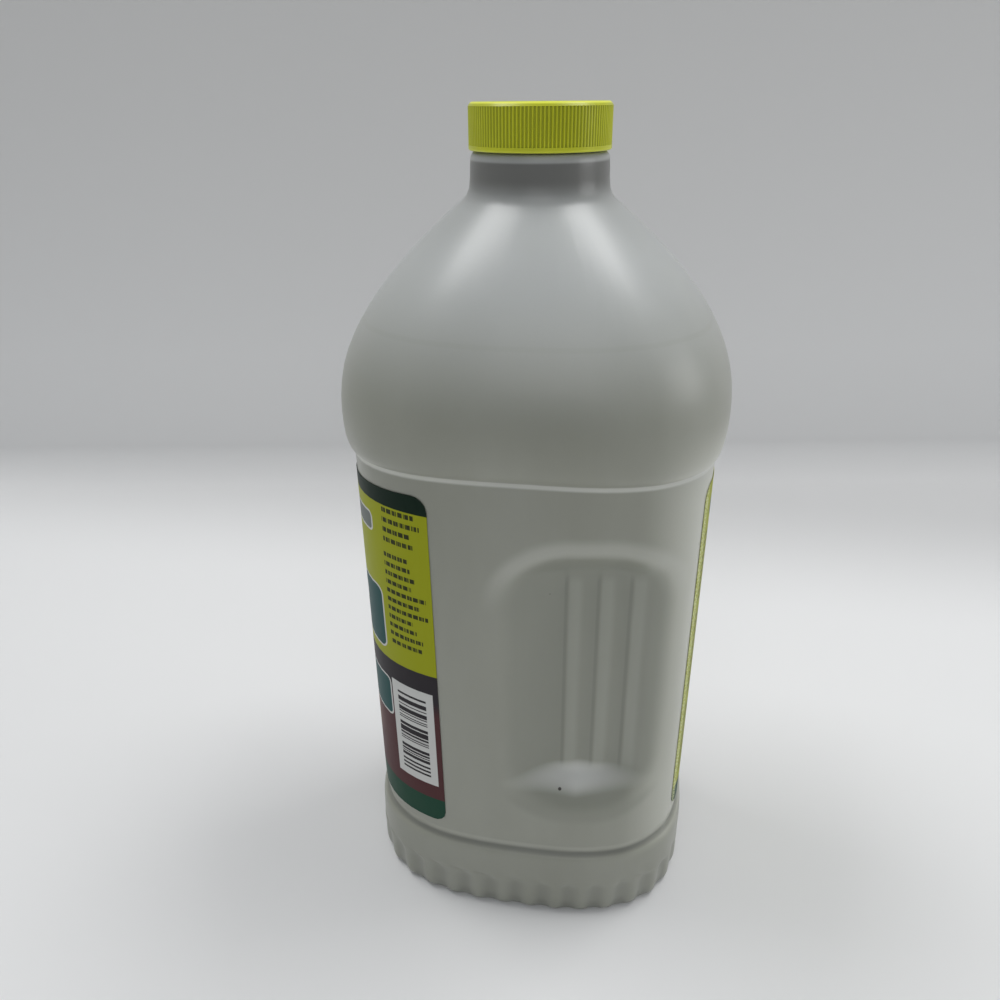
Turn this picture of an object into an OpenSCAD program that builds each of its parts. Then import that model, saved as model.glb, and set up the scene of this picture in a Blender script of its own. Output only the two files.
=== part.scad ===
// Two litre floor cleaner bottle with a ribbed screw cap.
// The front label faces -Y, the grips are on the -X and +X sides, and the floor is z = 0.

/* [Foot] */
// Width of the foot, from grip side to grip side
foot_w = 90.6; // [80:0.2:110]
// Depth of the foot, from front to back
foot_d = 117.4; // [105:0.2:135]
// Height of the foot band
foot_h = 28; // [22:0.5:36]
// Radius of the rounded edge that the bottle stands on
foot_edge_r = 3; // [2:0.25:4]
// Number of flutes round the foot
flutes = 36; // [24:2:40]
// Depth of a flute
flute_depth = 1.1; // [0.3:0.1:1.4]
// Height at which the flutes end in their arches
flute_h = 15; // [10:0.5:19]
// Rise of the pushed-up bottom at its middle
push_up = 6; // [3:0.5:9]

/* [Panel] */
// Height of the label panel, from the foot to the shoulder's ledge
panel_h = 144.3; // [130:0.5:170]
// How far the panel is set in from the foot
panel_step = 1.8; // [1:0.1:3]
// Depth of the waist that runs round between the foot and the panel
waist_in = 0.9; // [0:0.1:1.5]
// Height of the waist
waist_h = 5; // [3:0.5:7]
// How much wider the panel is at its top, on each grip side
panel_flare = 6; // [0:0.25:8]
// Squareness of the panel's section, where 2 is an ellipse
panel_square = 2.8; // [2.3:0.05:3.4]
// Rise of the ledge from front and back to the grip sides
ledge_rise = 2.6; // [0:0.1:5]

/* [Shoulder] */
// Overhang of the shoulder past the panel, on the grip sides
shoulder_out_w = 5; // [2.5:0.25:7]
// Overhang of the shoulder past the panel, at front and back
shoulder_out_d = 3.2; // [2:0.1:5]
// Height from the ledge to the widest line of the shoulder
shoulder_h = 17; // [12:0.5:22]
// Height from the widest line to the neck
dome_h = 56; // [45:0.5:70]
// Squareness of the shoulder's section, where 2 is an ellipse
shoulder_square = 2.6; // [2.2:0.05:3]

/* [Grips] */
// Width of each grip recess
grip_w = 57; // [46:0.5:58]
// Height of each grip recess
grip_h = 107.5; // [90:0.5:112]
// Height of the recess's lower edge above the foot
grip_up = 18.5; // [16:0.5:24]
// How far the middle of the recess lies behind the middle of the side
grip_back = 21.5; // [16:0.25:22]
// Depth of the recess
grip_depth = 9; // [4:0.25:11]
// Radius of the recess's corners
grip_r = 24; // [18:0.5:26]
// Width of the slope from the side down to the recess's floor
grip_slope = 13; // [9:0.5:16]
// Width of the longer slope at the recess's lower end
grip_slope_low = 20; // [14:0.5:20]
// Number of finger ribs in each recess
grip_ribs = 3; // [2:1:4]
// Distance between finger ribs
rib_pitch = 9.7; // [7:0.1:11]
// How far the middle of the ribs lies behind the middle of the recess
rib_back = 3.7; // [2:0.1:5]
// Height that a finger rib stands out
rib_out = 1.2; // [0.4:0.1:1.6]

/* [Neck] */
// Diameter of the plain neck
neck_d = 40; // [38:0.1:41]
// Height of the plain neck
neck_h = 11; // [8:0.5:16]
// Wall of the blown shell
wall = 1; // [0.8:0.1:1.4]
// Diameter of the mouth's bore
bore_d = 31; // [28:0.5:32]
// Outer diameter of the threaded finish, without its thread
finish_d = 35; // [34:0.1:36]
// Height of the threaded finish
finish_h = 9.9; // [9:0.1:12]

/* [Cap] */
// Outer diameter of the cap over its ribs
cap_d = 40.4; // [39.6:0.1:42]
// Number of ribs round the cap
cap_ribs = 120; // [60:4:132]
// Depth of the grooves between the cap's ribs
cap_rib_depth = 0.35; // [0.2:0.05:0.5]
// Height of the plain band under the ribs
cap_band_h = 1.3; // [0.8:0.1:2]
// Size of the bevel round the cap's top
cap_bevel = 1.1; // [0.6:0.1:1.6]
// Thickness of the cap's top
cap_top = 1.6; // [1.2:0.1:2]
// Wall of the cap's skirt, inside the ribs
cap_skirt = 1.15; // [0.9:0.05:1.3]
// Thickness of the liner disc
liner_t = 0.9; // [0.6:0.1:1.4]

/* [Labels] */
// Thickness of a label
label_t = 0.2; // [0.1:0.05:0.3]
// Distance from the ledge down to the labels
label_below_ledge = 6.9; // [4:0.1:10]
// Distance from the foot up to the labels
label_above_foot = 7.5; // [5:0.1:12]
// How far the front label's ends stop short of the middle of each side
front_label_stop = 25.6; // [20:0.2:34]
// Width of the back label, measured straight across
back_label_w = 43; // [36:1:50]
// Corner radius of the labels
label_r = 5; // [3:0.5:7]

/* [Contents] */
// Height of the liquid above the ledge
fill_up = 39.5; // [20:0.5:44]

/* [Hidden] */

// Gap between pieces that lie against each other
seat = 0.05;
// Gap between the liquid and the wall that holds it
liquid_gap = 0.3;
// Gap between the cap's rim and the neck's shelf
cap_gap = 0.2;
// Gap between the labels and the panel
label_gap = 0.1;
// Gap round the liner inside the cap
liner_gap = 0.25;

ledge_z = foot_h + panel_h;
widest_z = ledge_z + shoulder_h;
neck_z = widest_z + dome_h;
shelf_z = neck_z + neck_h;
mouth_z = shelf_z + finish_h;
liner_z = mouth_z + seat;
cap_ceiling_z = liner_z + liner_t + seat;
cap_top_z = cap_ceiling_z + cap_top;
cap_rim_z = shelf_z + cap_gap;
liquid_z = ledge_z + fill_up;

foot_x = foot_w / 2;
foot_y = foot_d / 2;
base_x = foot_x - foot_edge_r - 2.5;
base_y = foot_y - foot_edge_r - 2.5;
low_x = foot_x - panel_step;
low_y = foot_y - panel_step;
high_x = low_x + panel_flare;
high_y = low_y;
wide_x = high_x + shoulder_out_w;
wide_y = high_y + shoulder_out_d;
neck_r = neck_d / 2;

grip_low = foot_h + grip_up;
grip_high = grip_low + grip_h;
grip_mid_z = (grip_low + grip_high) / 2;

// Radius of the finish's root, which the neck's shelf runs into
root_r = neck_r - 1.7;

function mix(a, b, t) = a + (b - a) * t;
function clamp01(t) = min(1, max(0, t));
function smooth(t) = let(k = clamp01(t)) k * k * (3 - 2 * k);
function bezier(p, t) = pow(1 - t, 3) * p[0] + 3 * t * pow(1 - t, 2) * p[1]
    + 3 * t * t * (1 - t) * p[2] + pow(t, 3) * p[3];

// A point on the unit superellipse of squareness n in the direction a
function unit_point(a, n) = let(r = pow(pow(abs(cos(a)), n) + pow(abs(sin(a)), n), -1 / n))
    [r * cos(a), r * sin(a)];

// The direction in which the unit superellipse of squareness n reaches the depth y
function angle_of_y(y, n) = atan2(y, pow(max(0.0001, 1 - pow(abs(y), n)), 1 / n));

// A finger rib's section: places across it, and the share of its height there
rib_section = [[-1.2, 0], [0, 1], [3, 0.8], [4.8, 0]];
rib_y = [for (i = [0:grip_ribs - 1]) grip_back + rib_back + (i - (grip_ribs - 1) / 2) * rib_pitch];
rib_first = rib_y[0] + rib_section[0][0];
rib_last = rib_y[grip_ribs - 1] + rib_section[3][0];
rib_end = 4;
rib_low = grip_low + grip_slope_low - 3;
rib_high = grip_high - grip_slope + 3;

// Directions of the shell's columns of points on the +X side, closer together across a grip
grip_front = grip_back - grip_w / 2 - 1;
grip_rear = grip_back + grip_w / 2 + 1;
slope_y = [for (i = [0:4]) mix(grip_front, rib_first, i / 5)];
rear_y = [for (i = [1:2]) mix(rib_last, grip_rear, i / 2)];
side_y = concat(slope_y, [for (y = rib_y, s = rib_section) y + s[0]], rear_y);
plain_side_y = concat(slope_y, [for (y = rib_y) y + rib_section[0][0]], [rib_last], rear_y);
function directions(y_list) = [for (y = y_list) angle_of_y(y / low_y, panel_square)];
grip_end_a = angle_of_y(grip_rear / low_y, panel_square);
front_a = concat([for (a = [-90:9:-63]) a], [for (a = [-55:7.6:-17]) a]);
back_a = [for (i = [1:5]) mix(grip_end_a, 84, i / 5)];
function every_second(list) = [for (i = [0:2:len(list) - 1]) list[i]];
function all_round(right) = concat(right, [90], [for (i = [len(right) - 1:-1:1]) 180 - right[i]]);

// Columns of the outside, and fewer for the inside, which has no ribs
columns = all_round(concat(front_a, directions(side_y), back_a));
inner_columns = all_round(concat(every_second(front_a), directions(plain_side_y),
    every_second(back_a)));

// Depth of the grip recess at depth y and height z, with the ribs standing out of its floor
function recess_edge(y, z) = grip_r - norm([max(0, abs(y - grip_back) - grip_w / 2 + grip_r),
    max(0, abs(z - grip_mid_z) - grip_h / 2 + grip_r)]);
function slope_at(z) = mix(grip_slope_low, grip_slope, clamp01(2 * (z - grip_low) / grip_h));
function rib_height(y, z) = clamp01(min(z - rib_low, rib_high - z) / rib_end) * rib_out
    * max([for (r = rib_y) lookup(y - r, rib_section)]);
function recess(y, z, ribs) = let(d = smooth(recess_edge(y, z) / slope_at(z)))
    grip_depth * d - (ribs ? clamp01((d - 0.6) / 0.3) * rib_height(y, z) : 0);

// A ring of the shell from a row of values: half width, half depth, height, squareness,
// share of the ledge's rise, share of the grip's recess, and 1 where the inside follows
function ring(row, angles, ribs = true) = [for (a = angles) let(
    u = unit_point(a, row[3]),
    y = row[1] * u[1],
    x = row[0] * u[0],
    z = row[2] + row[4] * ledge_rise * pow(cos(a), 2))
    [x - sign(x) * row[5] * recess(y, z, ribs), y, z]];

// A flute's section: places in its pitch, the share of its depth there, and of its arched end
flute_section = [[0, 1, 0.7], [0.2, 0.85, 0], [0.36, 0, 0], [0.64, 0, 0], [0.8, 0.85, 0]];

// Columns of the fluted foot, which are evenly spaced along the foot's outline
function foot_point(a) = let(u = unit_point(a, panel_square)) [foot_x * u[0], foot_y * u[1]];
foot_arc = [for (i = 0, s = 0; i <= 360; s = s + norm(foot_point(i - 89) - foot_point(i - 90)),
    i = i + 1) [s, i - 90]];
flute_pitch = foot_arc[360][0] / flutes;
flute_columns = [for (i = [0:flutes - 1], s = flute_section) lookup((i + s[0]) * flute_pitch, foot_arc)];

// Rings of the foot: how far in, height, share of the flutes' depth, and share of their arched end
foot_rings = concat(
    [for (s = [[0, 0.1], [45, 0.8], [90, 1]])
        [foot_edge_r * (1 - sin(s[0])), foot_edge_r * (1 - cos(s[0])), s[1], 0]],
    [[0, mix(foot_edge_r, flute_h, 0.5), 0.9, 0], [0, flute_h - 2, 0.8, 0], [0, flute_h - 0.5, 0, 1]]);
function flute_ring(r) = [for (i = [0:len(flute_columns) - 1]) let(
    u = unit_point(flute_columns[i], panel_square),
    s = flute_section[i % 5],
    d = r[0] + flute_depth * (r[2] * s[1] + r[3] * s[2]))
    [(foot_x - d) * u[0], (foot_y - d) * u[1], r[1]]];

// Rows of the outside, from the foot up
band_rows = [for (z = [flute_h + 1, foot_h - 2.6]) [foot_x, foot_y, z, panel_square, 0, 0, 1]];
step_rows = [for (s = [[0.3, 0.9], [0.75, 0.2]])
    [foot_x - panel_step * s[0], foot_y - panel_step * s[0], foot_h - s[1], panel_square, 0, 0, 0]];
function panel_row(z, rise, inside, inset = 0) = let(t = (z - foot_h) / panel_h)
    [mix(low_x, high_x, t) - inset, mix(low_y, high_y, t) - inset, z, panel_square, rise, 1, inside];
waist_rows = [for (s = [[0.08, 1, 1], [0.5, 0.5, 0], [1, 0, 1]])
    panel_row(foot_h + waist_h * s[0], 0, s[2], waist_in * s[1])];
grip_zs = concat([for (i = [0:4]) mix(grip_low - 1, rib_low, i / 5)],
    [rib_low, rib_low + rib_end, grip_mid_z, rib_high - rib_end, rib_high],
    [for (i = [1:3]) mix(rib_high, grip_high + 1, i / 3)]);
panel_rows = concat(waist_rows,
    [for (z = grip_zs) panel_row(z, 0, 1)],
    [panel_row(ledge_z - 3, 1, 1), panel_row(ledge_z - 0.6, 1, 0)]);
ledge_rows = [for (s = [[0.08, 0.006, 1], [0.3, 0.05, 0], [0.62, 0.18, 1], [0.9, 0.5, 0], [1, 1, 1]])
    [mix(high_x, wide_x, s[0]), mix(high_y, wide_y, s[0]), ledge_z + s[1] * shoulder_h,
    mix(panel_square, shoulder_square, s[1]), 1 - s[1], 0, s[2]]];
dome_steps = 9;
function dome_row(i) = let(t = i / dome_steps,
    w = bezier([1, 1, 0.08, 0], t),
    z = bezier([widest_z, widest_z + dome_h * 0.46, neck_z - dome_h * 0.055, neck_z], t))
    [mix(neck_r, wide_x, w), mix(neck_r, wide_y, w), z, mix(2, shoulder_square, w), 0, 0,
    i % 2 == 1 || i == dome_steps - 1 ? 1 : 0];
dome_rows = [for (i = [1:dome_steps]) dome_row(i)];
neck_rows = [for (s = [[0, 3, 1], [0, neck_h - 2.6, 1], [0.3, neck_h - 1, 0], [1.1, neck_h - 0.2, 1],
    [2.2, neck_h, 1]])
    [neck_r - s[0], neck_r - s[0], neck_z + s[1], 2, 0, 0, s[2]]];
body_rows = concat(band_rows, step_rows, panel_rows, ledge_rows, dome_rows, neck_rows);

// The inside's rows, moved in from the outside by t, square to the profile
function inward(rows, i, t) = let(
    a = rows[max(0, i - 1)],
    b = rows[min(len(rows) - 1, i + 1)],
    s = norm([b[0] - a[0], b[2] - a[2]]),
    nr = (b[2] - a[2]) / s,
    nz = -(b[0] - a[0]) / s)
    [rows[i][0] - t * nr, rows[i][1] - t * nr, rows[i][2] - t * nz, rows[i][3], rows[i][4],
    rows[i][5]];
function inside_rows(t) = concat(
    [[foot_x - foot_edge_r, foot_y - foot_edge_r, t, panel_square, 0, 0],
    [foot_x - t - flute_depth, foot_y - t - flute_depth, foot_edge_r + t, panel_square, 0, 0]],
    [for (i = [1:len(body_rows) - 1]) if (body_rows[i][6] == 1) inward(body_rows, i, t)]);

// Faces of a loft through rings of equal counts, whose first point index is given, seen from outside
function band_faces(first, count, n) = [for (r = [0:count - 2], i = [0:n - 1]) let(
    j = (i + 1) % n,
    a = first + r * n,
    b = a + n)
    each [[a + i, b + i, b + j], [a + i, b + j, a + j]]];

// Faces that join a ring of m points to a ring of n points above it, both starting at the front
function turned(a) = a + 90;
function zip_faces(low, high, fa, fb, i = 0, j = 0) = let(m = len(low), n = len(high))
    i == m && j == n ? [] :
    let(next_low = i < m ? turned(i + 1 < m ? low[i + 1] : low[0] + 360) : 1e6,
        next_high = j < n ? turned(j + 1 < n ? high[j + 1] : high[0] + 360) : 1e6)
    next_low <= next_high
        ? concat([[fa + i % m, fb + j % n, fa + (i + 1) % m]], zip_faces(low, high, fa, fb, i + 1, j))
        : concat([[fa + i % m, fb + j % n, fb + (j + 1) % n]], zip_faces(low, high, fa, fb, i, j + 1));

function flip(faces) = [for (f = faces) [f[0], f[2], f[1]]];
function flat(lists) = [for (l = lists) each l];
function fan(first, n, centre) = [for (i = [0:n - 1]) [centre, first + i, first + (i + 1) % n]];

module shell() {
    m = len(flute_columns);
    n = len(columns);
    k = len(inner_columns);
    foot = [for (r = foot_rings) flute_ring(r)];
    bottom = [for (s = [1, 0.62]) ring([base_x * s, base_y * s,
        s == 1 ? 0 : push_up * 0.8, panel_square, 0, 0], inner_columns)];
    outside = [for (row = body_rows) ring(row, columns)];
    inside = [for (row = inside_rows(wall)) ring(row, inner_columns, false)];
    floor_ring = ring([base_x * 0.62, base_y * 0.62, push_up * 0.8 + wall,
        panel_square, 0, 0], inner_columns);
    f0 = 0;
    b0 = f0 + m * len(foot);
    o0 = b0 + k * 2;
    i0 = o0 + n * len(outside);
    r0 = i0 + k * len(inside);
    c0 = r0 + k;
    points = concat(flat(foot), flat(bottom), flat(outside), flat(inside), floor_ring,
        [[0, 0, push_up], [0, 0, push_up + wall]]);
    floor_join = [for (i = [0:k - 1]) let(j = (i + 1) % k)
        each [[i0 + i, i0 + j, r0 + j], [i0 + i, r0 + j, r0 + i]]];
    faces = concat(
        band_faces(f0, len(foot), m),
        zip_faces(flute_columns, columns, f0 + m * (len(foot) - 1), o0),
        band_faces(o0, len(outside), n),
        zip_faces(columns, inner_columns, o0 + n * (len(outside) - 1), i0 + k * (len(inside) - 1)),
        flip(band_faces(i0, len(inside), k)),
        flip(floor_join),
        flip(fan(r0, k, c0 + 1)),
        flip(zip_faces(flute_columns, inner_columns, f0, b0)),
        flip(band_faces(b0, 2, k)),
        fan(b0 + k, k, c0));
    polyhedron(points, faces, convexity = 10);
}

module finish() {
    root_low = shelf_z - wall - 0.9;
    root_high = shelf_z + 0.1;
    rotate_extrude($fn = 96)
        polygon([[bore_d / 2, root_low], [root_r, root_low], [root_r, root_high],
            [finish_d / 2, root_high], [finish_d / 2, mouth_z], [bore_d / 2, mouth_z]]);
}

module bottle() {
    color([0.78, 0.80, 0.77])
        union() {
            shell();
            finish();
        }
}

// A column of a label: the height of its top and bottom at a distance s from the label's end
function corner_drop(s) = s < label_r ? label_r - sqrt(label_r * label_r - pow(label_r - s, 2)) : 0;

// A point of the panel's outside, off it by t, where side is the x direction of the column
function on_panel(u, z, t) = let(k = (z - foot_h) / panel_h)
    [(mix(low_x, high_x, k) + t) * u[0], (mix(low_y, high_y, k) + t) * u[1], z];

// A sheet on the panel from unit points, the distance of each from the nearer end, and its cosine
label_rows = 4;
module sheet(stations) {
    n = len(stations);
    low = foot_h + label_above_foot;
    high = ledge_z - label_below_ledge;
    function height(p, share) = let(d = corner_drop(p[1]))
        mix(low + d, high + ledge_rise * p[2] * p[2] - d, share);
    loop = concat([for (k = [0:label_rows]) [label_gap, k / label_rows]],
        [for (k = [label_rows:-1:0]) [label_gap + label_t, k / label_rows]]);
    m = len(loop);
    points = [for (c = loop) each [for (p = stations) on_panel(p[0], height(p, c[1]), c[0])]];
    strips = [for (r = [0:m - 1], i = [0:n - 2]) let(a = r * n, b = (r + 1) % m * n)
        each [[a + i, a + i + 1, b + i + 1], [a + i, b + i + 1, b + i]]];
    ends = [for (k = [0:label_rows - 1]) let(
        a = k * n, b = a + n, c = (m - 1 - k) * n, d = c - n, e = n - 1)
        each [[a, b, d], [a, d, c], [a + e, d + e, b + e], [a + e, c + e, d + e]]];
    polyhedron(points, concat(strips, ends), convexity = 6);
}

// Unit points along the panel between two column angles, on the shell's own chords
function chord_point(a) = let(
    i = max([for (k = [0:len(columns) - 1]) if (columns[k] <= a) k]),
    p = unit_point(columns[i], panel_square),
    q = unit_point(columns[(i + 1) % len(columns)], panel_square),
    cross_p = p[0] * sin(a) - p[1] * cos(a),
    cross_q = q[0] * sin(a) - q[1] * cos(a),
    t = cross_p / (cross_p - cross_q))
    mix(p, q, t);
function label_column(a, edge_a) = let(p = chord_point(a), q = chord_point(edge_a),
    s = norm([low_x * (p[0] - q[0]), low_y * (p[1] - q[1])]))
    [p, s, cos(a)];
function half_label(edge_a, middle_a) = let(
    dir = sign(middle_a - edge_a),
    fine = [for (k = [0, 0.5, 1.6, 3.2, 4.8]) edge_a + dir * k],
    inner = [for (c = columns) if ((c - edge_a) * dir > 0.3 && (c - middle_a) * dir < -0.5) c],
    ordered = sorted(concat(fine, inner)))
    [for (a = dir > 0 ? ordered : reversed(ordered)) label_column(a, edge_a)];
function sorted(list) = len(list) < 2 ? list : let(p = list[0]) concat(
    sorted([for (v = list) if (v < p) v]), [p], sorted([for (v = list) if (v > p) v]));
function reversed(list) = [for (i = [len(list) - 1:-1:0]) list[i]];
function mirrored(half) = [for (p = half) [[-p[0][0], p[0][1]], p[1], -p[2]]];

module front_label() {
    edge_a = angle_of_y(-front_label_stop / low_y, panel_square);
    half = half_label(edge_a, -90);
    color([0.72, 0.80, 0.16])
        sheet(concat(mirrored(half), [label_column(-90, edge_a)], reversed(half)));
}

module back_label() {
    x = back_label_w / 2 / low_x;
    edge_a = 90 - angle_of_y(x, panel_square);
    half = half_label(edge_a, 90);
    color([0.74, 0.82, 0.20])
        sheet(concat(half, [label_column(90, edge_a)], reversed(mirrored(half))));
}

module liquid() {
    n = len(inner_columns);
    gap = wall + liquid_gap;
    all_rows = inside_rows(gap);
    rows = [for (row = all_rows) if (row[2] < liquid_z) row];
    below = rows[len(rows) - 1];
    above = all_rows[len(rows)];
    surface = mix(below, above, (liquid_z - below[2]) / (above[2] - below[2]));
    rings = [for (row = concat(rows, [surface])) ring(row, inner_columns, false)];
    base = ring([base_x * 0.62, base_y * 0.62, push_up * 0.8 + gap, panel_square, 0, 0],
        inner_columns);
    points = concat(flat(rings), base, [[0, 0, push_up + gap], [0, 0, liquid_z]]);
    b0 = n * len(rings);
    floor_join = [for (i = [0:n - 1]) let(j = (i + 1) % n)
        each [[i, j, b0 + j], [i, b0 + j, b0 + i]]];
    color([0.80, 0.83, 0.80])
        polyhedron(points, concat(band_faces(0, len(rings), n), floor_join,
            fan(b0, n, b0 + n), flip(fan(n * (len(rings) - 1), n, b0 + n + 1))), convexity = 10);
}

module cap_liner() {
    r = cap_d / 2 - cap_rib_depth - cap_skirt - liner_gap;
    color([0.93, 0.93, 0.90])
        translate([0, 0, liner_z]) cylinder(r = r, h = liner_t, $fn = 96);
}

module cap() {
    r = cap_d / 2;
    root = r - cap_rib_depth;
    inner = root - cap_skirt;
    rib_low = cap_rim_z + cap_band_h;
    rib_high = cap_top_z - cap_bevel;
    outline = [for (i = [0:cap_ribs - 1], s = [[0.14, 0], [0.36, 1], [0.64, 1], [0.86, 0]]) let(
        a = (i + s[0]) * 360 / cap_ribs,
        d = root + s[1] * (cap_rib_depth - 0.04))
        [d * cos(a), d * sin(a)]];
    color([0.78, 0.87, 0.10])
        difference() {
            union() {
                rotate_extrude($fn = 128)
                    polygon([[0, cap_rim_z], [r - 0.3, cap_rim_z], [r, cap_rim_z + 0.3],
                        [r, rib_low], [root - 0.1, rib_low], [root - 0.1, rib_high], [r, rib_high],
                        [r - cap_bevel * 0.55, cap_top_z - cap_bevel * 0.25],
                        [r - cap_bevel, cap_top_z], [0, cap_top_z]]);
                translate([0, 0, rib_low - 0.1])
                    linear_extrude(rib_high - rib_low + 0.2) polygon(outline);
            }
            translate([0, 0, cap_rim_z - 1])
                cylinder(r = inner, h = cap_ceiling_z - cap_rim_z + 1, $fn = 128);
        }
}

bottle();
front_label();
back_label();
liquid();
cap_liner();
cap();
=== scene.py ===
import math
import bpy
from mathutils import Matrix, Vector


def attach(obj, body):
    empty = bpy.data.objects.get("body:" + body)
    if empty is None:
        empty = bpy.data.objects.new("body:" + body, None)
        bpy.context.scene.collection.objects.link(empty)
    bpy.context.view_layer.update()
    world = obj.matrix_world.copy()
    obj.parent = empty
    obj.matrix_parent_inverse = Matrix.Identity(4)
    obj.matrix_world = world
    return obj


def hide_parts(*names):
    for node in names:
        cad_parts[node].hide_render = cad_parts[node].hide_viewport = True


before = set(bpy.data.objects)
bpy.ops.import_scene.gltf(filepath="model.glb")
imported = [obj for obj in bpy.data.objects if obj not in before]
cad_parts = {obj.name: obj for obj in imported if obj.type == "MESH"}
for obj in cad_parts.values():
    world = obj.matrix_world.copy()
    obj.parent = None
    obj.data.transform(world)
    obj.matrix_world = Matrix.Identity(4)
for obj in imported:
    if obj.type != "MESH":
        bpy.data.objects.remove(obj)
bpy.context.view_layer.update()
print("frame loaded")

mm = 0.001
perMetre = 1000   # mm
weldGap = 0.01 * mm


def pick(piece):
    bpy.ops.object.select_all(action="DESELECT")
    piece.select_set(True)
    bpy.context.view_layer.objects.active = piece


def openMesh(piece):
    # into edit mode, with everything selected
    pick(piece)
    bpy.ops.object.mode_set(mode="EDIT")
    bpy.ops.mesh.select_all(action="SELECT")


def openPart(piece, kind, wanted):
    # into edit mode, with the edges or faces selected that the test wants
    openMesh(piece)
    bpy.ops.mesh.select_mode(type=kind)
    bpy.ops.mesh.select_all(action="DESELECT")
    closeMesh()
    parts = {"EDGE": piece.data.edges, "FACE": piece.data.polygons}[kind]
    for part in parts:
        part.select = wanted(part)
    bpy.ops.object.mode_set(mode="EDIT")


def closeMesh():
    bpy.ops.object.mode_set(mode="OBJECT")


def mergeTriangles(bend, skew):
    angles = {"face_threshold": math.radians(bend), "shape_threshold": math.radians(skew)}
    bpy.ops.mesh.tris_convert_to_quads(**angles)


def applyAll(piece):
    pick(piece)
    for modifier in list(piece.modifiers):
        bpy.ops.object.modifier_apply(modifier=modifier.name)


def smooth(piece, angle):
    pick(piece)
    bpy.ops.object.shade_smooth_by_angle(angle=math.radians(angle))


def weldedCopy(nodeName, pieceName):
    # the CAD mesh is loose triangles, so a copy is welded before anything is done to it
    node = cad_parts[nodeName]
    piece = node.copy()
    piece.data = node.data.copy()
    piece.name = pieceName
    piece.parent = None
    for key in list(piece.keys()):
        del piece[key]
    bpy.context.scene.collection.objects.link(piece)
    openMesh(piece)
    bpy.ops.mesh.remove_doubles(threshold=weldGap)
    closeMesh()
    return piece


# Wire is one output of a shader tree, with the arithmetic that the materials below use

class Wire:
    def __init__(self, shade, socket):
        self.shade = shade
        self.socket = socket

    def maths(self, operation, *others):
        sockets = dict(enumerate((self, *others)))
        return self.shade.add("ShaderNodeMath", {"operation": operation}, sockets)

    def __add__(self, other):
        return self.maths("ADD", other)

    def __radd__(self, other):
        return self.maths("ADD", other)

    def __sub__(self, other):
        return self.maths("SUBTRACT", other)

    def __rsub__(self, other):
        return (self * -1) + other

    def __mul__(self, other):
        return self.maths("MULTIPLY", other)

    def __rmul__(self, other):
        return self.maths("MULTIPLY", other)

    def __truediv__(self, other):
        return self.maths("DIVIDE", other)

    def size(self):
        return self.maths("ABSOLUTE")

    def squared(self):
        return self.maths("POWER", 2)

    def root(self):
        return self.maths("SQRT")

    def floor(self):
        return self.maths("FLOOR")

    def wrap(self, span):
        return self.maths("WRAP", span, 0)

    def atLeast(self, other):
        return self.maths("MAXIMUM", other)

    def red(self):
        return self.shade.add("ShaderNodeSeparateColor", None, {0: self})

    def ramp(self, low, high, smoothly=True):
        # 0 on low's side, 1 on high's side
        settings = {"interpolation_type": "SMOOTHSTEP" if smoothly else "LINEAR"}
        ends = {"Value": self, "From Min": low, "From Max": high}
        return self.shade.add("ShaderNodeMapRange", settings, ends)

    def band(self, start, low, high, end):
        # 1 from low to high, and 0 before start and after end
        return self.ramp(start, low) * self.ramp(end, high)


class Shade:
    def __init__(self, name):
        self.material = bpy.data.materials.new(name)
        self.material.use_nodes = True
        self.tree = self.material.node_tree
        self.tree.nodes.clear()

    def add(self, kind, settings=None, sockets=None, out=0):
        node = self.tree.nodes.new(kind)
        for key, value in (settings or {}).items():
            setattr(node, key, value)
        for key, value in (sockets or {}).items():
            if isinstance(value, Wire):
                self.tree.links.new(value.socket, node.inputs[key])
            else:
                node.inputs[key].default_value = value
        return Wire(self, node.outputs[out]) if node.outputs else None

    def split(self, vector):
        first = self.add("ShaderNodeSeparateXYZ", None, {0: vector})
        return [Wire(self, part) for part in first.socket.node.outputs]

    def axes(self):
        return self.split(self.add("ShaderNodeTexCoord", None, None, "Object"))

    def place(self, scale=(1, 1, 1)):
        source = self.add("ShaderNodeTexCoord", None, None, "Object")
        return self.add("ShaderNodeMapping", None, {"Vector": source, "Scale": scale})

    def noise(self, scale, detail, stretch=(1, 1, 1)):
        sockets = {"Vector": self.place(stretch), "Scale": scale, "Detail": detail}
        return self.add("ShaderNodeTexNoise", None, sockets, "Fac")

    def chance(self, first, second):
        # an even random number for each pair of numbers
        pair = self.add("ShaderNodeCombineXYZ", None, {"X": first, "Y": second})
        settings = {"noise_dimensions": "3D"}
        return self.add("ShaderNodeTexWhiteNoise", settings, {"Vector": pair}, "Value")

    def blend(self, share, first, second):
        sockets = {0: share}
        for key, colour in ((6, first), (7, second)):
            sockets[key] = colour if isinstance(colour, Wire) else (*colour, 1)
        return self.add("ShaderNodeMix", {"data_type": "RGBA"}, sockets, 2)

    def paint(self, colour, *coats):
        # a coat is a mask, and the colour that it lays over what is there
        for mask, coat in coats:
            colour = self.blend(mask, colour, coat)
        return colour

    def relief(self, *layers):
        # a layer is a height, how deep it is and how strongly it shows
        normal = None
        for height, depth, strength in layers:
            sockets = {"Height": height, "Distance": depth, "Strength": strength}
            if normal:
                sockets["Normal"] = normal
            normal = self.add("ShaderNodeBump", None, sockets)
        return normal

    def surface(self, sockets):
        shader = self.add("ShaderNodeBsdfPrincipled", None, sockets)
        self.add("ShaderNodeOutputMaterial", None, {"Surface": shader})
        return self.material


def uneven(noise, middle, spread):
    return noise * spread + (middle - spread / 2)


def reach(across, along):
    return (across * across + along * along).root()


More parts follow.
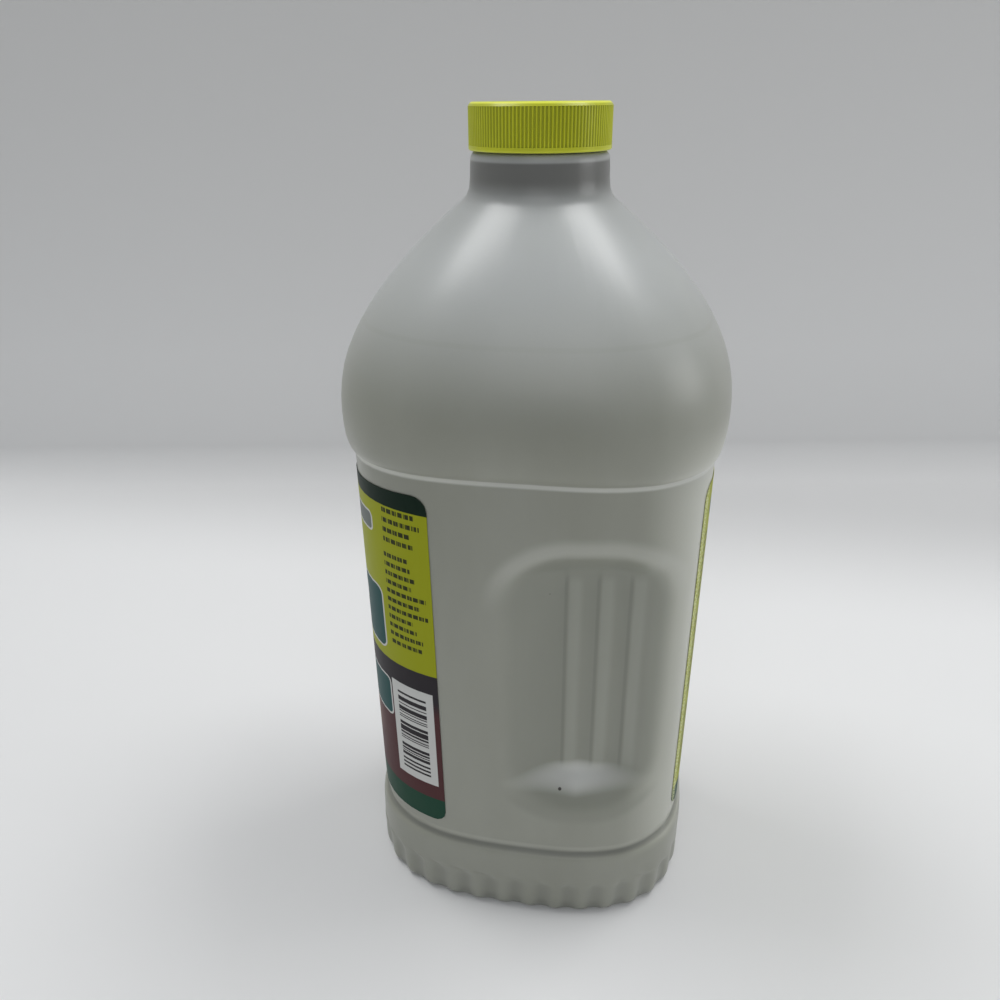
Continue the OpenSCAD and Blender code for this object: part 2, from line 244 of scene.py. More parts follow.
def cornerReach(place, middle, half, corner):
    # how far a place lies outside the centres of a rounded box's corners
    out = [(axis - m).size() - (h - corner) for axis, m, h in zip(place, middle, half)]
    return reach(*[axis.atLeast(0) for axis in out])


def dress(piece, material):
    piece.data.materials.clear()
    piece.data.materials.append(material)


# Camera: a phone held at the height of the cap, looking down at one grip side

cameraView = {
    "focalPixels": 825,
    "framePixels": 1000,
    "sensor": 36,
    "azimuth": 99.9,
    "pitch": 25.95,
    "roll": -0.5,
    "distance": 253.2 * mm,
    "height": 269.5 * mm,
    "sideways": -12.15 * mm,
    "nearest": 10 * mm,
}


def addCamera():
    view = cameraView
    azimuth = math.radians(view["azimuth"])
    pitch = math.radians(view["pitch"])
    roll = math.radians(view["roll"])
    ahead = Vector((-math.sin(azimuth), math.cos(azimuth), 0))
    right = Vector((math.cos(azimuth), math.sin(azimuth), 0))
    look = ahead * math.cos(pitch) - Vector((0, 0, math.sin(pitch)))
    up = right.cross(look)
    turnedRight = right * math.cos(roll) + up * math.sin(roll)
    turnedUp = up * math.cos(roll) - right * math.sin(roll)
    spin = Matrix((turnedRight, turnedUp, -look)).transposed().to_4x4()
    eye = right * view["sideways"] - ahead * view["distance"] + Vector((0, 0, view["height"]))
    bpy.ops.object.camera_add()
    camera = bpy.context.object
    camera.name = "photoCamera"
    camera.matrix_world = Matrix.Translation(eye) @ spin
    camera.data.sensor_width = view["sensor"]
    camera.data.lens = view["sensor"] * view["focalPixels"] / view["framePixels"]
    camera.data.clip_start = view["nearest"]
    bpy.context.scene.camera = camera
    return ahead, right


ahead, right = addCamera()
print("camera placed")

# Stage: a pale table top that curves up into a plain wall, with painted shade on the far floor and up
# the wall

stageSizes = {
    "behind": 347 * mm,
    "inFront": 700 * mm,
    "halfWidth": 1100 * mm,
    "wallHeight": 900 * mm,
    "bend": 28 * mm,
    "bendSteps": 16,
    "smoothUnder": 40,
}

# painted shade: the far floor and the wall are darker than the card's own colour, and darkest at the
# wall's top
stageLook = {
    "colour": (0.82, 0.82, 0.82),
    "farShade": (0.60, 0.60, 0.60),
    "wallShade": (0.71, 0.71, 0.71),
    "highShade": (0.42, 0.415, 0.405),
    "far": (-0.16, -0.33),
    "wallFoot": (0.004, 0.035),
    "wallFade": (0.1, 0.6),
    "roughness": 0.85,
    "gloss": 0.2,
}


def addStage():
    s = stageSizes
    look = stageLook
    bpy.ops.mesh.primitive_plane_add(size=1)
    sweep = bpy.context.object
    sweep.name = "tableAndWall"
    corners = [(along, side) for along in (-s["inFront"], s["behind"]) for side in (-1, 1)]
    for point, (along, side) in zip(sweep.data.vertices, corners):
        point.co = ahead * along + right * side * s["halfWidth"]

    def isFold(edge):
        ends = [sweep.data.vertices[i].co for i in edge.vertices]
        return all(end.dot(ahead) > 0 and end.z < weldGap for end in ends)

    openPart(sweep, "EDGE", isFold)
    bpy.ops.mesh.extrude_region_move(TRANSFORM_OT_translate={"value": (0, 0, s["wallHeight"])})
    closeMesh()
    openPart(sweep, "EDGE", isFold)
    bpy.ops.mesh.bevel(offset=s["bend"], segments=s["bendSteps"], affect="EDGES")
    closeMesh()
    smooth(sweep, s["smoothUnder"])
    shade = Shade("paleCard")
    x, height = shade.axes()[::2]
    # painted shade: darker far back on the floor, darker on the wall, and darker still towards the
    # wall's top
    colour = shade.paint(
        look["colour"],
        (x.ramp(*look["far"]), look["farShade"]),
        (height.ramp(*look["wallFoot"]), look["wallShade"]),
        (height.ramp(*look["wallFade"], False), look["highShade"]),
    )
    dress(sweep, shade.surface({
        "Base Color": colour,
        "Roughness": look["roughness"],
        "Specular IOR Level": look["gloss"],
    }))


addStage()

lampPlan = {
    "overLeft": {"at": (-0.06, -0.52, 1.2), "aim": (0.1, 0.0, 0.0), "size": 0.5, "watts": 5.2},
    "overRight": {"at": (-0.23, 0.47, 1.2), "aim": (0.05, 0.0, 0.0), "size": 0.5, "watts": 5.2},
    "front": {"at": (1.0, 0.1, 0.9), "aim": (0.0, 0.0, 0.1), "size": 0.9, "watts": 2.4},
    "right": {"at": (-0.05, 1.2, 0.5), "aim": (0.0, 0.0, 0.1), "size": 0.5, "watts": 1.8},
}
roomLight = {"Color": (0.9, 0.95, 1.0, 1), "Strength": 0.27}


def addLamp(name, plan):
    bpy.ops.object.light_add(type="AREA", location=plan["at"])
    lamp = bpy.context.object
    lamp.name = name
    lamp.data.shape = "SQUARE"
    lamp.data.size = plan["size"]
    lamp.data.energy = plan["watts"]
    aim = Vector(plan["aim"]) - Vector(plan["at"])
    lamp.rotation_euler = aim.to_track_quat("-Z", "Y").to_euler()


def addRoom():
    room = bpy.data.worlds.new("room")
    bpy.context.scene.world = room
    room.use_nodes = True
    for key, value in roomLight.items():
        room.node_tree.nodes["Background"].inputs[key].default_value = value


for lampName, plan in lampPlan.items():
    addLamp(lampName, plan)
addRoom()
print("stage and lamps set")

# Bottle: one blown shell of natural polyethylene; its places are in mm from the foot's middle

bottleForm = {
    "panelLow": (43.5, 56.9),       # half width and half depth at the panel's foot
    "panelHigh": (49.5, 56.9),
    "panelFoot": 28,
    "panelHeight": 144.3,
    "square": 2.8,                  # 2 makes an oval, and more is squarer
    "ledgeHalf": (49.5, 56.9),
    "ledgeHeight": 172.3,
    "ledgeRise": 2.6,
    "footHalf": (45.3, 58.7),
    "fluteTop": 15.6,
    "fluteDepth": 1.1,
    "gripMiddle": (21.5, 100.25),
    "gripHalf": (28.5, 53.75),
    "gripCorner": 24,
    "ribs": (15.5, 25.2, 34.9),
    "ribEnds": (60, 66, 138, 143),
    "shelf": 255.5 * mm,
    "restRing": 0.1 * mm,
    "mergeUnder": (50, 70),
    "smoothUnder": 50,
}

# A zone is where its colour starts and is full, or starts, is full, is still full and ends
bottleLook = {
    "colour": (0.355, 0.36, 0.31),
    "deepColour": (0.31, 0.315, 0.265),
    # painted light on the +y side, standing in for light shining through the wall and liquid
    "backlightColour": (0.64, 0.65, 0.57),
    # paler where the bottle is empty of liquid; on the finish it is a painted highlight
    "emptyAndHighlightColour": (0.49, 0.505, 0.495),
    # painted shade on the neck under the cap
    "neckShade": (0.17, 0.17, 0.16),
    # painted shade in the flutes, in the waist and on the foot
    "footShadeColour": (0.20, 0.205, 0.18),
    # painted highlight along the ledge and in a band above the waist
    "ledgeHighlight": (0.70, 0.71, 0.64),
    "speckColour": (0.05, 0.045, 0.04),
    "roughness": 0.32,
    "roughSpread": 0.08,
    "cloudNoise": (22, 4, (1, 1, 0.35)),
    "grainNoise": (900, 2),
    "waveNoise": (9, 2, (1, 1, 0.5)),
    "cloudShare": (0.3, 0.7),
    "emptying": (186, 232),
    "level": 211.8,                 # the liquid's
    "levelEdge": (0.9, 0.3),
    "levelShare": 0.12,
    "neck": (240.5, 250),
    "backlightSide": (34, 58),
    "backlightHeights": (24, 32, 172, 190),
    "backlightShare": 0.8,
    "ledgeZone": (-1.8, -0.9, 0, 0.7),
    "ledgeShare": 0.75,
    "fluteShare": 0.35,
    "fluteFoot": (7, 3),
    "fluteFootShare": 0.4,
    "finish": (253.6, 254.4),
    "finishHighlightShare": 0.6,
    "lipZone": (29.3, 30.2, 31.2, 32.5),
    "lipShare": 0.22,
    "waist": 28.4,
    "waistEdge": (1.1, 0.2),
    "waistShare": 0.7,
    "foot": (28.4, 27),
    "footShare": 0.15,
    "speckSpacing": 75,
    "speckSize": (0.055, 0.035),
    "speckRarity": (0.90, 0.93),
    "partingEdge": (0.45, 0.1),
    "waveRelief": (0.004, 0.35),
    "cloudRelief": (0.0005, 0.25),
    "partingRelief": (0.00025, 0.6),
    "grainRelief": (0.00004, 0.35),
    "scatter": {"Subsurface Weight": 0.5, "Subsurface Radius": (1, 1, 0.9), "Subsurface Scale": 0.004},
    "bending": 1.5,
}

# painted light and shade in the grips: highlights at the rim, on the ribs and low in the hollow; shade
# inside it and beside each rib
gripLook = {
    "shade": (0.27, 0.28, 0.235),
    # painted highlight at the grip's rim and on the ribs
    "rim": (0.66, 0.67, 0.61),
    "creaseShade": (0.17, 0.175, 0.15),
    "glint": (0.86, 0.87, 0.83),
    "onSide": (28, 31),
    "rimZone": (-5, -1, 0, 4),      # mm inside the grip's edge
    "rimTop": (128, 150),
    "rimShare": 0.35,
    "floorZone": (1, 7),
    "floorTop": (112, 136),
    "floorTopShare": 0.15,
    "floorShare": 0.55,
    "creaseBeside": 0.9,            # mm before a rib's middle
    "creaseEdge": (0.8, 0.2),
    "creaseShare": 0.3,
    "ribZone": (-0.4, 0.6, 2.5, 5),
    "ribShare": 0.12,
    "footTop": (58, 50),
    "footZone": (-4, 0, 5, 9),
    "footShare": 0.55,
    "glintMiddle": (20, 60),
    "glintHalf": (25, 6.5),
    "glintEdge": (1.1, 0),
    "glintShare": 0.6,
}


def panelHalf(height):
    # half width and half depth of the panel, in mm, at a height in mm
    f = bottleForm
    share = (height - f["panelFoot"]) / f["panelHeight"]
    return [low + (high - low) * share for low, high in zip(f["panelLow"], f["panelHigh"])]


def inMm(point):
    return [k * perMetre for k in point.co]


def markFlutes(shell):
    # how deep each point of the foot lies in a flute, for the shade in the flutes
    f = bottleForm
    power = f["square"]
    width, depth = f["footHalf"]
    flute = shell.data.attributes.new("flute", "FLOAT", "POINT")
    for i, point in enumerate(shell.data.vertices):
        x, y, z = inMm(point)
        share = ((abs(x) / width) ** power + (abs(y) / depth) ** power) ** (1 / power)
        deep = (1 - share) * width / f["fluteDepth"]
        flute.data[i].value = min(max(deep, 0), 1) if z < f["fluteTop"] else 0


def gripCoats(x, y, up):
    # painted light and shade in a grip: a highlight round its rim and on each rib, shade where it turns
    # in and beside each rib, and a highlight low in the hollow with shade below it
    f = bottleForm
    g = gripLook
    corner = f["gripCorner"]
    inside = corner - cornerReach((y, up), f["gripMiddle"], f["gripHalf"], corner)
    onSide = x.size().ramp(*g["onSide"])
    rim = inside.band(*g["rimZone"]) * up.ramp(*g["rimTop"]) * onSide
    floor = up.ramp(*g["floorTop"]) * g["floorTopShare"] + g["floorShare"]
    coats = [
        (rim * g["rimShare"], g["rim"]),
        (inside.ramp(*g["floorZone"]) * onSide * floor, g["shade"]),
    ]
    ribSpan = up.band(*f["ribEnds"]) * onSide
    for rib in f["ribs"]:
        off = y - rib
        creaseShade = (off + g["creaseBeside"]).size().ramp(*g["creaseEdge"])
        coats.append((creaseShade * ribSpan * g["creaseShare"], g["creaseShade"]))
        coats.append((off.band(*g["ribZone"]) * ribSpan * g["ribShare"], g["rim"]))
    # painted shade below the highlight low in the hollow
    foot = inside.band(*g["footZone"]) * up.ramp(*g["footTop"]) * onSide
    coats.append((foot * g["footShare"], g["shade"]))
    # painted highlight low in the hollow
    aside = (y - g["glintMiddle"][0]).size() / g["glintHalf"][0]
    above = (up - g["glintMiddle"][1]) / g["glintHalf"][1]
    glint = (aside + above.squared()).ramp(*g["glintEdge"]) * onSide
    coats.append((glint * g["glintShare"], g["glint"]))
    return coats


def wallCoats(shade, x, y, up):
    f = bottleForm
    look = bottleLook
    level = (up - look["level"]).size().ramp(*look["levelEdge"])
    # painted light, lighter towards the +y side, standing in for light shining through
    backlight = y.ramp(*look["backlightSide"]) * up.band(*look["backlightHeights"])
    side, end = [(axis / half).squared() for axis, half in zip((x, y), f["ledgeHalf"])]
    ledge = up - f["ledgeHeight"] - side / (side + end) * f["ledgeRise"]
    flute = shade.add("ShaderNodeAttribute", {"attribute_name": "flute"}, None, "Fac")
    fluteShare = up.ramp(*look["fluteFoot"]) * look["fluteFootShare"] + look["fluteShare"]
    # painted shade: a dark line in the waist and a darker foot
    waist = (up - look["waist"]).size().ramp(*look["waistEdge"]) * look["waistShare"]
    foot = up.ramp(*look["foot"]) * look["footShare"]
    return [
        (up.ramp(*look["emptying"]), look["emptyAndHighlightColour"]),
        (level * look["levelShare"], look["deepColour"]),
        # painted shade on the neck under the cap
        (up.ramp(*look["neck"]), look["neckShade"]),
        # painted light on the +y side
        (backlight * look["backlightShare"], look["backlightColour"]),
        # painted highlight along the ledge
        (ledge.band(*look["ledgeZone"]) * look["ledgeShare"], look["ledgeHighlight"]),
        # painted shade in the flutes, stronger towards the floor
        (flute * fluteShare, look["footShadeColour"]),
        # painted highlight on the finish, where its shelf catches the light
        (up.ramp(*look["finish"]) * look["finishHighlightShare"], look["emptyAndHighlightColour"]),
        # painted highlight in a band above the waist
        (up.band(*look["lipZone"]) * look["lipShare"], look["ledgeHighlight"]),
        # painted shade: a dark line in the waist and a darker foot
        (waist + foot, look["footShadeColour"]),
    ]


def speckMask(shade):
    look = bottleLook
    cells = {"Vector": shade.place(), "Scale": look["speckSpacing"], "Randomness": 1}
    near = shade.add("ShaderNodeTexVoronoi", None, cells, "Distance")
    cell = shade.add("ShaderNodeTexVoronoi", None, cells, "Color")
    return near.ramp(*look["speckSize"]) * cell.red().ramp(*look["speckRarity"])


def bottleMaterial():
    look = bottleLook
    shade = Shade("naturalPolyethylene")
    x, y, up = [axis * perMetre for axis in shade.axes()]
    cloud = shade.noise(*look["cloudNoise"])
    colour = shade.blend(cloud.ramp(*look["cloudShare"]), look["deepColour"], look["colour"])
    coats = wallCoats(shade, x, y, up) + gripCoats(x, y, up)
    coats.append((speckMask(shade), look["speckColour"]))
    normal = shade.relief(
        (shade.noise(*look["waveNoise"]), *look["waveRelief"]),
        (cloud, *look["cloudRelief"]),
        (x.size().ramp(*look["partingEdge"]), *look["partingRelief"]),
        (shade.noise(*look["grainNoise"]), *look["grainRelief"]),
    )
    return shade.surface({
        "Base Color": shade.paint(colour, *coats),
        "Roughness": uneven(cloud, look["roughness"], look["roughSpread"]),
        "IOR": look["bending"],
        "Normal": normal,
        **look["scatter"],
    })


def makeBottle():
    f = bottleForm
    shell = weldedCopy("bottle", "bottle_shell")
    openMesh(shell)
    mergeTriangles(*f["mergeUnder"])
    closeMesh()

    def isCrisp(edge):   # the finish, and the ring that the bottle stands on
        heights = [shell.data.vertices[i].co.z for i in edge.vertices]
        return min(heights) > f["shelf"] or max(heights) < f["restRing"]

    openPart(shell, "EDGE", isCrisp)
    bpy.ops.transform.edge_crease(value=1)
    closeMesh()
    rounding = shell.modifiers.new("round", "SUBSURF")
    rounding.levels = 1
    rounding.render_levels = 1
    applyAll(shell)
    markFlutes(shell)
    smooth(shell, f["smoothUnder"])
    dress(shell, bottleMaterial())
    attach(shell, "bottle")
    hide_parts("bottle")
    return shell


shell = makeBottle()
print("bottle made")

# Liquid: clear and watery

liquidLook = {
    "colour": (0.86, 0.90, 0.86),
    "paleColour": (0.90, 0.92, 0.90),
    "swirlNoise": (14, 2),
    "roughness": 0.05,
    "clearness": 0.9,
    "bending": 1.33,
}


def dressLiquid():
    look = liquidLook
    shade = Shade("wateryCleaner")
    swirl = shade.noise(*look["swirlNoise"])
    dress(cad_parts["liquid"], shade.surface({
        "Base Color": shade.blend(swirl, look["colour"], look["paleColour"]),
        "Roughness": look["roughness"],
        "Transmission Weight": look["clearness"],
        "IOR": look["bending"],
    }))


dressLiquid()

# Cap: moulded lime plastic, with a foam liner

capLook = {
    "colour": (0.58, 0.61, 0.022),
    "shade": (0.50, 0.53, 0.016),
    # painted highlight on the top's rim and along the skirt's edge
    "edgeHighlight": (0.86, 0.90, 0.09),
    # painted shade in the grooves between the ribs
    "grooveShade": (0.30, 0.32, 0.008),
    "roughness": 0.33,
    "roughSpread": 0.1,
    "cloudNoise": (60, 3),
    "grainNoise": (1600, 2),
    "cloudShare": (0.25, 0.75),
    "top": (268.1, 268.6),
    "rim": (18.9, 19.5),
    "groove": (20.12, 19.9),        # radii of the ribs' tops and the grooves
    "grooveHeights": (257.4, 257.8, 267.9, 268.2),
    "grooveShare": 0.75,
    "skirt": (257.2, 256.7),
    "skirtShare": 0.5,
    "grainRelief": (0.00003, 0.5),
    "scatter": {"Subsurface Weight": 0.12, "Subsurface Radius": (1, 1, 0.3), "Subsurface Scale": 0.002},
}

linerLook = {
    "colour": (0.82, 0.82, 0.78),
    "paleColour": (0.9, 0.9, 0.87),
    "cellNoise": (2500, 2),
    "cellRelief": (0.0001, 0.6),
    "roughness": 0.7,
}


def dressCap():
    look = capLook
    shade = Shade("limeCapPlastic")
    cloud = shade.noise(*look["cloudNoise"])
    grain = shade.noise(*look["grainNoise"])
    x, y, z = shade.axes()
    radius = reach(x, y) * perMetre
    up = z * perMetre
    colour = shade.blend(cloud.ramp(*look["cloudShare"]), look["shade"], look["colour"])
    # painted shade in the grooves between the ribs
    groove = radius.ramp(*look["groove"]) * up.band(*look["grooveHeights"])
    # painted highlight on the top's rim and along the skirt's edge
    rim = up.ramp(*look["top"]) * radius.ramp(*look["rim"])
    skirt = up.ramp(*look["skirt"])
    colour = shade.paint(
        colour,
        (groove * look["grooveShare"], look["grooveShade"]),
        (rim, look["edgeHighlight"]),
        (skirt * look["skirtShare"], look["edgeHighlight"]),
    )
    dress(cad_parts["cap"], shade.surface({
        "Base Color": colour,
        "Roughness": uneven(grain, look["roughness"], look["roughSpread"]),
        "Normal": shade.relief((grain, *look["grainRelief"])),
        **look["scatter"],
    }))


def dressLiner():
    look = linerLook
    foam = Shade("linerFoam")
    cells = foam.noise(*look["cellNoise"])
    dress(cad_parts["cap_liner"], foam.surface({
        "Base Color": foam.blend(cells, look["colour"], look["paleColour"]),
        "Roughness": look["roughness"],
        "Normal": foam.relief((cells, *look["cellRelief"])),
    }))


dressCap()
dressLiner()

# Threads: one helix on the finish and one inside the cap, which run half a pitch apart

threadSizes = {
    "pitch": 4.233 * mm,
    "turns": 1.25,
    "low": 258.3 * mm,
    "root": 17.4 * mm,
    "crest": 18.4 * mm,
    "capRoot": 18.8 * mm,
    "capCrest": 17.8 * mm,
    "rootHalf": 1.0 * mm,
    "crestHalf": 0.4 * mm,
    "steps": 90,
    "smoothUnder": 30,
}


def makeThread(name, root, crest, low):
    t = threadSizes
    bpy.ops.mesh.primitive_plane_add(size=1)
    thread = bpy.context.object
    thread.name = name
    points = thread.data.vertices
    rim = [points[i] for i in (0, 1, 3, 2)]   # the plane's corners, in order round it
    halves = (-t["rootHalf"], -t["crestHalf"], t["crestHalf"], t["rootHalf"])
    for point, out, up in zip(rim, (root, crest, crest, root), halves):
        point.co = (out, 0, low + up)
    screw = thread.modifiers.new("helix", "SCREW")
    screw.axis = "Z"
    screw.angle = 2 * math.pi * t["turns"]
    screw.screw_offset = t["pitch"] * t["turns"]
    screw.steps = t["steps"]
    screw.render_steps = t["steps"]
    screw.use_merge_vertices = False
    applyAll(thread)
    openMesh(thread)
    bpy.ops.mesh.remove_doubles(threshold=weldGap)
    bpy.ops.mesh.normals_make_consistent(inside=False)
    closeMesh()
    smooth(thread, t["smoothUnder"])
    return thread


def makeThreads():
    t = threadSizes
    onFinish = makeThread("finish_thread", t["root"], t["crest"], t["low"])
    dress(onFinish, bpy.data.materials["naturalPolyethylene"])
    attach(onFinish, "bottle")
    inCap = makeThread("cap_thread", t["capRoot"], t["capCrest"], t["low"] + t["pitch"] / 2)
    dress(inCap, bpy.data.materials["limeCapPlastic"])
    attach(inCap, "cap")


makeThreads()
print("cap and threads made")

# Labels: printed film, whose print lies on a map of millimetres along and up the film

filmSizes = {
    "stand": 0.12 * mm,
    "film": 0.12 * mm,
    "facingOut": 0.5,
    "mergeUnder": (40, 70),
    "cuts": 3,
    "smoothUnder": 40,
    "mapSpan": 300,
    "mapMiddle": 60,
    "mapHeight": 100,               # where the panel's outline is measured
    "turnSteps": 900,
    "stepsPerDegree": 10,
}

filmLook = {
    "grainNoise": (350, 3),
    "rippleNoise": (30, 2),
    "rippleRelief": (0.0004, 0.25),
    "grainRelief": (0.00002, 0.3),
    "roughness": 0.44,
    "roughSpread": 0.08,
    "gloss": 0.1,
}

inks = {
    "lime": (0.34, 0.365, 0.012),
    "paleLime": (0.72, 0.76, 0.42),
    "darkGreen": (0.003, 0.016, 0.008),
    "charcoal": (0.030, 0.026, 0.030),
    "maroon": (0.085, 0.030, 0.032),
    "glow": (0.30, 0.16, 0.10),
    "footGreen": (0.012, 0.06, 0.035),
    "teal": (0.012, 0.075, 0.075),
    "white": (0.62, 0.62, 0.60),
    "grey": (0.16, 0.18, 0.17),
    "ink": (0.03, 0.035, 0.01),
}

# Panels are middle, half size and corner; boxes are left, right, low and high; small print is
# left, longest line's end, shortest line's end, top, bottom, pitch and seed; all in mm
frontLayout = {
    "blur": 0.1,
    "darkGreenOver": 161.3,
    "charcoalUnder": 102,
    "maroonUnder": (92, 83),
    "footGreenUnder": 46,
    "glow": ((0, 70), (34, 13), 12),
    "glowEdge": 9,
    "glowShare": 0.35,
    "border": 0.7,
    "bordered": (
        ((0, 117.8), (39.6, 11.8), 3, "teal"),
        ((0, 85), (39.6, 8), 2, "teal"),
        ((0, 153), (37.4, 3), 1.6, "grey"),
    ),
    "bars": (
        ((0, 121), (26, 3.2), 1.6),
        ((0, 112.5), (18, 1.3), 0.8),
        ((0, 85), (22, 1.6), 0.8),
    ),
    "discHeight": 139,
    "discs": ((8.1, "white"), (7.1, "teal")),
    "smallPrint": (
        (43.3, 59.4, 53, 160.6, 148.4, 3.4, 11),
        (42.8, 58.8, 52.5, 144.8, 109.2, 3.3, 4),
    ),
    "patch": (40.8, 58.6, 52.5, 94.2),
    "stripes": (43.5, 55.8, 55.5, 91),
    "stripesPerMm": 2.2,
    "stripeSeed": 3.0,
    "stripeShare": (0.46, 0.5),
}

backLayout = {
    "footGreenUnder": 44,
    "edgeDots": (19.2, 20.6),
    "dotNoise": (1800, 1),
    "dotSize": (0.40, 0.56),
    "dotShare": 0.8,
    "title": ((0, 156), (16, 3), 1.5),
    "smallPrint": (
        (-19.5, 19.5, 9, 148, 122, 2.6, 2),
        (-19.5, 19.5, 9, 118, 84, 2.6, 5),
        (-19.5, 19.5, 9, 80, 50, 2.6, 9),
    ),
}

smallPrint = {
    "lineShare": (0.52, 0.44),
    "strokesPerMm": 2.6,
    "faintest": 0.5,
    "faint": (0.0, 0.3),
    "wordsPerMm": 0.45,
    "wordShift": 3,
    "wordShare": (0.86, 0.8),
    "gapShare": (0.0, 0.02),
    "lineSeed": 3.7,
    "strokeSeed": 5,
    "blur": 0.1,
}


def alongTable(middle):
    # distance along the panel's outline, by direction, from the direction of the label's middle
    f = filmSizes
    power = bottleForm["square"]
    half = panelHalf(f["mapHeight"])
    table = [0.0]
    for step in range(1, f["turnSteps"] + 1):
        ends = []
        for k in (step - 1, step):
            a = math.radians(middle + k / f["stepsPerDegree"])
            r = (abs(math.cos(a)) ** power + abs(math.sin(a)) ** power) ** (-1 / power)
            ends.append((half[0] * r * math.cos(a), half[1] * r * math.sin(a)))
        table.append(table[-1] + math.dist(*ends))
    return table


def mapFilm(film, middle):
    # the map holds millimetres along the film from its middle, and up from the floor
    f = filmSizes
    table = alongTable(middle)
    layer = film.data.uv_layers.new(name="printMap")
    film.data.uv_layers.active = layer
    places = []
    for point in film.data.vertices:
        x, y, z = inMm(point)
        half = panelHalf(z)
        turn = (math.degrees(math.atan2(y / half[1], x / half[0])) - middle + 180) % 360 - 180
        steps = min(abs(turn) * f["stepsPerDegree"], f["turnSteps"] - 1)
        whole = int(steps)
        along = table[whole] + (table[whole + 1] - table[whole]) * (steps - whole)
        along = math.copysign(along, turn)
        places.append(((along + f["mapMiddle"]) / f["mapSpan"], z / f["mapSpan"]))
    for loop in film.data.loops:
        layer.data[loop.index].uv = places[loop.vertex_index]


def makeFilm(nodeName, middle):
    # only the outer face of the CAD film is kept, which is wrapped on the shell and thickened
    f = filmSizes
    film = weldedCopy(nodeName, nodeName + "_film")

    def isInner(face):
        outward = Vector((face.center.x, face.center.y, 0)).normalized().dot(face.normal)
        return outward < f["facingOut"]

    openPart(film, "FACE", isInner)
    bpy.ops.mesh.delete(type="FACE")
    bpy.ops.mesh.select_all(action="SELECT")
    mergeTriangles(*f["mergeUnder"])
    bpy.ops.mesh.subdivide(number_cuts=f["cuts"])
    closeMesh()
    wrap = film.modifiers.new("wrap", "SHRINKWRAP")
    wrap.target = shell
    wrap.wrap_method = "NEAREST_SURFACEPOINT"
    wrap.wrap_mode = "ABOVE_SURFACE"
    wrap.offset = f["stand"]
    applyAll(film)
    mapFilm(film, middle)
    thick = film.modifiers.new("film", "SOLIDIFY")
    thick.thickness = f["film"]
    thick.offset = 1
    applyAll(film)
    smooth(film, f["smoothUnder"])
    return film


def inBox(place, box, edge=0.12):
    # 1 inside the box, with soft edges that stand for the print's spread
    left, right, low, high = box
    sides = place[0].band(left, left + edge, right - edge, right)
    return sides * place[1].band(low, low + edge, high - edge, high)


def inPanel(place, middle, half, corner, edge=0.15):
    return cornerReach(place, middle, half, corner).ramp(corner, corner - edge)


def greekedLines(shade, place, block):
    # lines of plain marks in place of small print, with ragged ends
    p = smallPrint
    along, up = place
    left, longest, shortest, top, bottom, pitch, seed = block
    down = (top - up) / pitch
    line = down.floor()
    onLine = (down - line).ramp(*p["lineShare"])
    rag = shade.chance(line * p["lineSeed"] + seed, 0.0)
    end = rag * (longest - shortest) + shortest
    stroke = shade.chance((along * p["strokesPerMm"]).floor(), line * p["strokeSeed"] + seed)
    word = along * p["wordsPerMm"] + rag * p["wordShift"]
    gap = shade.chance(word.floor(), line + seed)
    inWord = word.wrap(1).ramp(*p["wordShare"]) * gap.ramp(*p["gapShare"])
    marks = (stroke.ramp(*p["faint"]) * (1 - p["faintest"]) + p["faintest"]) * inWord
    sides = along.ramp(left, left + p["blur"]) * (along - end).ramp(p["blur"], 0)
    return marks * onLine * sides * up.band(bottom, bottom + p["blur"], top, top + p["blur"])


def mapPlace(shade):
    f = filmSizes
    film = shade.add("ShaderNodeUVMap", {"uv_map": "printMap"}, None, "UV")
    across, above = shade.split(film)[:2]
    return across * f["mapSpan"] - f["mapMiddle"], above * f["mapSpan"]


def under(axis, line):
    blur = frontLayout["blur"]
    return axis.ramp(line + blur, line - blur)


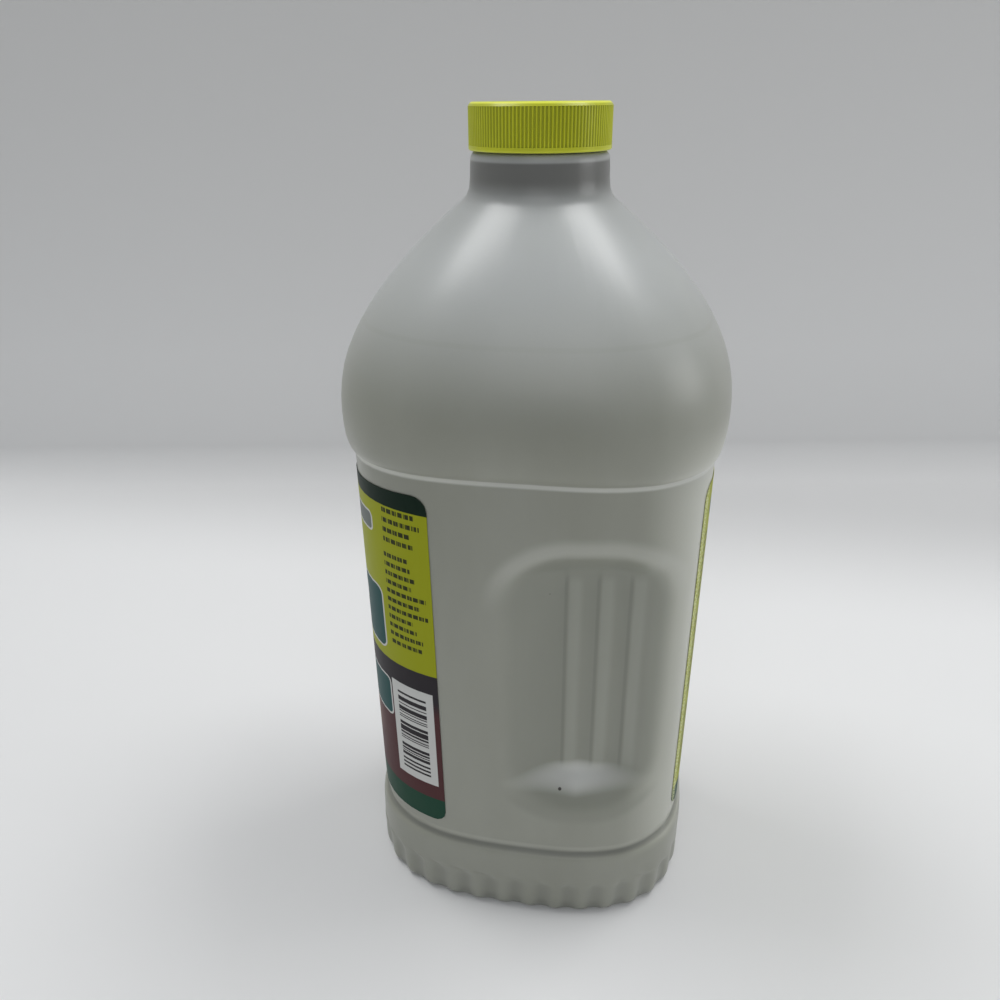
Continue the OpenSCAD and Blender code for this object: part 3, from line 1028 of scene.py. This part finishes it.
def frontPrint():
    lay = frontLayout
    shade = Shade("frontLabelPrint")
    place = mapPlace(shade)
    along, up = place
    colour = shade.paint(
        inks["darkGreen"],
        (under(up, lay["darkGreenOver"]), inks["lime"]),
        (under(up, lay["charcoalUnder"]), inks["charcoal"]),
        (up.ramp(*lay["maroonUnder"]), inks["maroon"]),
        (inPanel(place, *lay["glow"], lay["glowEdge"]) * lay["glowShare"], inks["glow"]),
        (under(up, lay["footGreenUnder"]), inks["footGreen"]),
    )
    coats = []
    for middle, half, corner, ink in lay["bordered"]:
        wider = [h + lay["border"] for h in half]
        coats.append((inPanel(place, middle, wider, corner + lay["border"]), inks["white"]))
        coats.append((inPanel(place, middle, half, corner), inks[ink]))
    for bar in lay["bars"]:
        coats.append((inPanel(place, *bar), inks["white"]))
    disc = reach(along, up - lay["discHeight"])
    for radius, ink in lay["discs"]:
        coats.append((under(disc, radius), inks[ink]))
    for side in (-1, 1):
        for block in lay["smallPrint"]:
            coats.append((greekedLines(shade, (along * side, up), block), inks["ink"]))
    stripe = shade.chance((up * lay["stripesPerMm"]).floor(), lay["stripeSeed"])
    stripes = stripe.ramp(*lay["stripeShare"]) * inBox(place, lay["stripes"])
    coats.append((inBox(place, lay["patch"]), inks["white"]))
    coats.append((stripes, inks["charcoal"]))
    return shade, shade.paint(colour, *coats)


def backPrint():
    lay = backLayout
    shade = Shade("backLabelPrint")
    place = mapPlace(shade)
    along, up = place
    dots = shade.noise(*lay["dotNoise"]).ramp(*lay["dotSize"])
    coats = [
        (under(up, lay["footGreenUnder"]), inks["footGreen"]),
        (along.size().ramp(*lay["edgeDots"]) * dots * lay["dotShare"], inks["paleLime"]),
        (inPanel(place, *lay["title"]), inks["teal"]),
    ]
    for block in lay["smallPrint"]:
        coats.append((greekedLines(shade, place, block), inks["ink"]))
    return shade, shade.paint(inks["lime"], *coats)


def filmMaterial(shade, colour):
    look = filmLook
    grain = shade.noise(*look["grainNoise"])
    ripple = shade.noise(*look["rippleNoise"])
    return shade.surface({
        "Base Color": colour,
        "Roughness": uneven(grain, look["roughness"], look["roughSpread"]),
        "Specular IOR Level": look["gloss"],
        "Normal": shade.relief((ripple, *look["rippleRelief"]), (grain, *look["grainRelief"])),
    })


def dressLabels():
    for nodeName, slot, middle, layPrint in (
        ("front_label", "label_front", -90, frontPrint),
        ("back_label", "label_back", 90, backPrint),
    ):
        film = makeFilm(nodeName, middle)
        dress(film, filmMaterial(*layPrint()))
        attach(film, "bottle")
        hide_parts(nodeName)


dressLabels()
print("labels made")

bpy.context.scene.view_settings.view_transform = "Standard"
